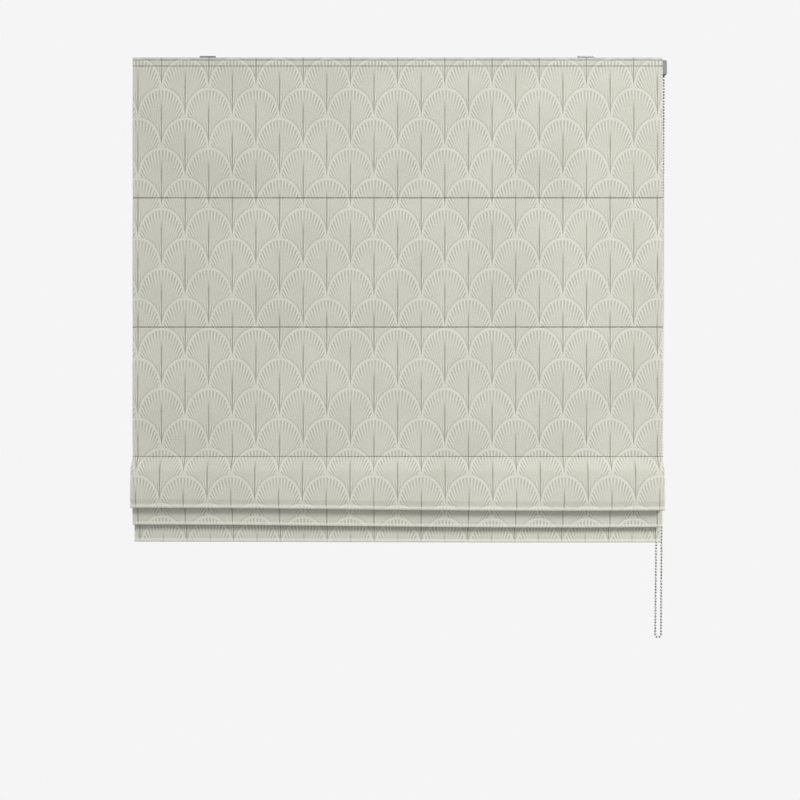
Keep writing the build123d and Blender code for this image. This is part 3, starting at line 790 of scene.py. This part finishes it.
# Stitching: short arched threads along each stitched line
STITCH_PITCH = 3.6 * MM
STITCH_LENGTH = 2.7 * MM
STITCH_ARCH = (0.05, 0.85, 0.85, 0.05)
THREAD = 0.28 * MM
THREAD_SIDES = 5

# Where the rows of stitches lie: above the last seam, in from the side edges, and on a tape
LAST_SEAM_RISE = 0.6 * MM
SEAM_INSET = 3.0 * MM
HEADER_INSET = 4.0 * MM
TAPE_INSET = 6.0 * MM
TAPE_WEB = 0.6 * MM
TAPE_MARGIN = 1.1 * MM


def tube(points, path, radius, sides, faces, across=Vector((0, 0, 1))):
    """Adds a tube to lists of points and faces, along a path that never runs in the across direction."""
    first = len(points)
    for index, place in enumerate(path):
        ahead = path[min(index + 1, len(path) - 1)]
        behind = path[max(index - 1, 0)]
        run = (ahead - behind).normalized()
        side = across.cross(run).normalized()
        up = run.cross(side)
        for corner in range(sides):
            angle = 2 * math.pi * corner / sides
            points.append(place + (side * math.cos(angle) + up * math.sin(angle)) * radius)
    for ring in range(len(path) - 1):
        for corner in range(sides):
            here = first + ring * sides + corner
            beside = first + ring * sides + (corner + 1) % sides
            faces.append((here, here + sides, beside + sides, beside))
    faces.append(tuple(first + corner for corner in range(sides)))
    last = first + (len(path) - 1) * sides
    faces.append(tuple(last + corner for corner in reversed(range(sides))))


def stitch_row(name, y, z, half, outward, body):
    """A straight row of stitches; outward is -1 in front of the cloth and 1 behind it."""
    points, faces = [], []
    for x in spread(-half, half - STITCH_PITCH, round((2 * half - STITCH_PITCH) / STITCH_PITCH)):
        path = [
            Vector((x + STITCH_LENGTH * step / (len(STITCH_ARCH) - 1), y + outward * THREAD * arch, z))
            for step, arch in enumerate(STITCH_ARCH)
        ]
        tube(points, path, THREAD, THREAD_SIDES, faces)
    return finish_piece(mesh_piece(name, points, faces), "cord_fibre", body)


for number, line in enumerate(HEADER_LINES, 1):
    z = CLOTH_TOP - line
    stitch_row(f"header_stitching_{number}", face_y(z), z, HALF_WIDTH - HEADER_INSET, -1, "root")
for number in (1, 2):
    z = SEAMS[number - 1]
    squash_cloth(stitch_row(f"seam_stitching_{number}", face_y(z), z, HALF_WIDTH - SEAM_INSET, -1, "root"))
stitch_row(
    "seam_stitching_3", FACE_FRONT, FOLD_TOP + LAST_SEAM_RISE, HALF_WIDTH - SEAM_INSET, -1, STACK_BODY)

# Back of the tapes: a row of stitches above and below each rod
for number in range(1, 6):
    low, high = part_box(f"rod_tape_{number}")
    body = f"rod_{number}_body" if number < 3 else STACK_BODY
    web_back = low.y + TAPE_WEB
    for place, z in (("top", high.z - TAPE_MARGIN), ("low", low.z + TAPE_MARGIN)):
        stitch_row(f"tape_stitching_{number}_{place}", web_back, z, HALF_WIDTH - TAPE_INSET, 1, body)

# Bead chain: round beads on short wires, along the same loop as the solid
BEAD_RADIUS = 2.25 * MM
LINK_RADIUS = 0.55 * MM
BEAD_PITCH = 6.0 * MM
BEAD_SEGMENTS = 12
BEAD_RINGS = 8
LINK_SPAN = (0.3, 0.7)
LINK_SIDES = 6
WHEEL_POCKETS = 12
TURN_BEADS = 3
LOOP_RADIUS = 5.9 * MM
shaft_low, shaft_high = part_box("drive_shaft")
AXIS_Z = (shaft_low.z + shaft_high.z) / 2
CHAIN_X = 535.4 * MM
PITCH_RADIUS = BEAD_PITCH / (2 * math.sin(math.pi / WHEEL_POCKETS))
LOOP_X = 528.1 * MM
LOOP_Y = 8.0 * MM
LOOP_END = -1174.0 * MM
LOOP_Z = LOOP_END + LOOP_RADIUS + BEAD_RADIUS

# A direction that no wire of the chain runs along
LINK_SIDEWAYS = Vector((0.3, 1, 0.1))


def chain_beads():
    """The middle of each bead, once round the loop."""
    front_top = Vector((CHAIN_X, -PITCH_RADIUS, AXIS_Z))
    back_top = Vector((CHAIN_X, PITCH_RADIUS, AXIS_Z))
    front_low = Vector((LOOP_X + LOOP_RADIUS, LOOP_Y, LOOP_Z))
    back_low = Vector((LOOP_X - LOOP_RADIUS, LOOP_Y, LOOP_Z))
    strand = round((front_top - front_low).length / BEAD_PITCH)
    beads = [front_top.lerp(front_low, index / strand) for index in range(strand)]
    for index in range(TURN_BEADS):
        angle = math.pi * index / TURN_BEADS
        across = Vector((math.cos(angle), 0, -math.sin(angle)))
        beads.append(Vector((LOOP_X, LOOP_Y, LOOP_Z)) + across * LOOP_RADIUS)
    beads += [back_low.lerp(back_top, index / strand) for index in range(strand)]
    for index in range(WHEEL_POCKETS // 2):
        angle = math.pi * index / (WHEEL_POCKETS // 2)
        spoke = Vector((0, math.cos(angle), math.sin(angle)))
        beads.append(Vector((CHAIN_X, 0, AXIS_Z)) + spoke * PITCH_RADIUS)
    return beads


def add_ball(points, faces, centre, along, radius, segments, rings):
    """Adds a ball whose poles lie along the chain."""
    turn = Vector((0, 0, 1)).rotation_difference(along)
    first = len(points)
    for ring in range(1, rings):
        polar = math.pi * ring / rings
        for segment in range(segments):
            angle = 2 * math.pi * segment / segments
            spot = Vector((
                math.sin(polar) * math.cos(angle), math.sin(polar) * math.sin(angle), math.cos(polar)))
            points.append(centre + turn @ spot * radius)
    for ring in range(rings - 2):
        for segment in range(segments):
            here = first + ring * segments + segment
            beside = first + ring * segments + (segment + 1) % segments
            faces.append((here, here + segments, beside + segments, beside))
    faces.append(tuple(first + segment for segment in range(segments)))
    last = first + (rings - 2) * segments
    faces.append(tuple(last + segment for segment in reversed(range(segments))))


def make_chain():
    """Each point's surface coordinate is 0 round a bead's middle and 1 at its poles and on the wires."""
    points, faces, uvs = [], [], []
    beads = chain_beads()
    for index, bead in enumerate(beads):
        after = beads[(index + 1) % len(beads)]
        along = (after - beads[index - 1]).normalized()
        first = len(points)
        add_ball(points, faces, bead, along, BEAD_RADIUS, BEAD_SEGMENTS, BEAD_RINGS)
        uvs += [(abs((point - bead).dot(along)) / BEAD_RADIUS, 0.0) for point in points[first:]]
        first = len(points)
        ends = [bead.lerp(after, share) for share in LINK_SPAN]
        tube(points, ends, LINK_RADIUS, LINK_SIDES, faces, LINK_SIDEWAYS)
        uvs += [(1.0, 0.0)] * (len(points) - first)
    piece = mesh_piece("bead_chain_links", points, faces, uvs, "bead")
    finish_piece(piece, "chain_metal", "root")
    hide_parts("bead_chain")


make_chain()

# Lift cords and the cord wound on each spool
CORD_RADIUS = 0.75 * MM
DRUM_RADIUS = 10.0 * MM
WOUND_TURNS = 6.5
WOUND_STEPS = 26
WOUND_SIDES = 8
CORD_RINGS = 120
CORD_SIDES = 10
SIDEWAYS = Vector((1, 0, 0))


def make_lift_cord(side):
    """A round cord from its spool to the lock under the lowest ring."""
    low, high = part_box(f"lift_cord_{side}")
    x, y = (low.x + high.x) / 2, (low.y + high.y) / 2
    path = [Vector((x, y, z)) for z in spread(high.z, low.z, CORD_RINGS)]
    points, faces = [], []
    tube(points, path, CORD_RADIUS, CORD_SIDES, faces, SIDEWAYS)
    piece = mesh_piece(f"lift_cord_line_{side}", points, faces)
    finish_piece(piece, "cord_fibre", "root")
    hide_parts(f"lift_cord_{side}")
    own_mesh(piece)


def make_wound_cord(side):
    """The cord's turns on its drum, side by side."""
    low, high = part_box(f"wound_cord_{side}")
    count = round(WOUND_TURNS * WOUND_STEPS)
    reach = DRUM_RADIUS + CORD_RADIUS
    path = []
    for step, x in enumerate(spread(low.x + CORD_RADIUS, high.x - CORD_RADIUS, count)):
        angle = 2 * math.pi * step / WOUND_STEPS
        path.append(Vector((x, -reach * math.cos(angle), AXIS_Z + reach * math.sin(angle))))
    points, faces = [], []
    tube(points, path, CORD_RADIUS, WOUND_SIDES, faces, SIDEWAYS)
    piece = mesh_piece(f"wound_cord_turns_{side}", points, faces)
    finish_piece(piece, "cord_fibre", "drive")
    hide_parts(f"wound_cord_{side}")


for side in ("left", "middle", "right"):
    make_lift_cord(side)
    make_wound_cord(side)

# Finish of the parts that stay as they are in the frame
slots = {row["node"]: row["material_slot"] for row in frame["record"]["subparts"]}
FINE_EDGE = 0.30 * MM
RAIL_EDGE = 0.35 * MM
CAP_EDGE = 0.40 * MM
EDGE_SEGMENTS = 2
EDGE_ANGLE = math.radians(40)
BEVELLED = {"headrail": RAIL_EDGE, "end_cap": CAP_EDGE, "chain_housing": CAP_EDGE}
for side in ("left", "right"):
    BEVELLED[f"bracket_{side}"] = FINE_EDGE
    BEVELLED[f"cam_{side}"] = FINE_EDGE
for side in ("left", "middle", "right"):
    BEVELLED[f"cradle_{side}"] = FINE_EDGE
for name, node in nodes.items():
    node.data.materials.clear()
    node.data.materials.append(materials[slots[name]])
    if name in BEVELLED:
        bevel = node.modifiers.new("edges", "BEVEL")
        bevel.width = BEVELLED[name]
        bevel.segments = EDGE_SEGMENTS
        bevel.limit_method = "ANGLE"
        bevel.angle_limit = EDGE_ANGLE

# Studio: a round pale floor well below the blind, soft light from the upper right, a pale world
FLOOR_Z = -2.02
FLOOR_RADIUS = 1.5
FLOOR_SIDES = 128
FLOOR_PALE = colour(0.64, 0.64, 0.635)
FLOOR_SHADE = colour(0.60, 0.60, 0.595)
WORLD_FRONT = 0.42
WORLD_BACK = 0.913
WORLD_BELOW = 0.25
MIDDLE = (0.0, 0.0, -0.5)
SOFT = 1.6
WARM = (1.0, 0.995, 0.98)
COOL = (0.98, 0.99, 1.0)


def make_floor():
    """A matt disc, just below what the camera sees."""
    graph = Graph("studio_floor")
    cloud = graph.noise(scale=1.2, detail=2.0, vector=graph.object_space())
    graph.put(graph.shader.inputs["Base Color"], graph.mix(cloud, FLOOR_PALE, FLOOR_SHADE))
    graph.shader.inputs["Roughness"].default_value = 0.95
    graph.shader.inputs["Specular IOR Level"].default_value = 0.1
    angles = [2 * math.pi * side / FLOOR_SIDES for side in range(FLOOR_SIDES)]
    rim = [(FLOOR_RADIUS * math.cos(angle), FLOOR_RADIUS * math.sin(angle), FLOOR_Z) for angle in angles]
    floor = mesh_piece("studio_floor", rim, [tuple(range(FLOOR_SIDES))])
    floor.data.materials.append(graph.material)


def make_world():
    """White behind the blind, a little greyer in front, where the lights stand, and greyer still below."""
    world = bpy.data.worlds.new("studio")
    world.use_nodes = True
    tree = world.node_tree
    direction = tree.nodes.new("ShaderNodeTexCoord").outputs["Generated"]
    split = tree.nodes.new("ShaderNodeSeparateXYZ")
    tree.links.new(direction, split.inputs["Vector"])
    from_front = ("Y", -0.1, 0.7, WORLD_FRONT, WORLD_BACK)
    from_below = ("Z", -0.8, -0.4, WORLD_BELOW, 1.0)
    ramps = []
    for axis, start, end, low, high in (from_front, from_below):
        ramp = tree.nodes.new("ShaderNodeMapRange")
        ramp.interpolation_type = "SMOOTHSTEP"
        tree.links.new(split.outputs[axis], ramp.inputs["Value"])
        ramp.inputs["From Min"].default_value = start
        ramp.inputs["From Max"].default_value = end
        ramp.inputs["To Min"].default_value = low
        ramp.inputs["To Max"].default_value = high
        ramps.append(ramp.outputs["Result"])
    product = tree.nodes.new("ShaderNodeMath")
    product.operation = "MULTIPLY"
    tree.links.new(ramps[0], product.inputs[0])
    tree.links.new(ramps[1], product.inputs[1])
    background = tree.nodes["Background"]
    background.inputs["Color"].default_value = (1.0, 1.0, 1.0, 1.0)
    tree.links.new(product.outputs[0], background.inputs["Strength"])
    bpy.context.scene.world = world


def area_light(name, place, power, tint):
    """A square soft light that faces the middle of the blind."""
    light = bpy.data.objects.new(name, bpy.data.lights.new(name, "AREA"))
    light.data.shape = "SQUARE"
    light.data.size = SOFT
    light.data.energy = power
    light.data.color = tint
    light.location = place
    direction = Vector(MIDDLE) - Vector(place)
    light.rotation_euler = direction.to_track_quat("-Z", "Y").to_euler()
    bpy.context.scene.collection.objects.link(light)


make_floor()
make_world()
area_light("key", place=(3.6, -3.8, 2.0), power=300.0, tint=WARM)
area_light("fill", place=(0.6, -2.6, -0.6), power=7.0, tint=COOL)
area_light("rear", place=(0.6, 2.0, 0.9), power=16.0, tint=COOL)
bpy.context.scene.view_settings.view_transform = "Standard"
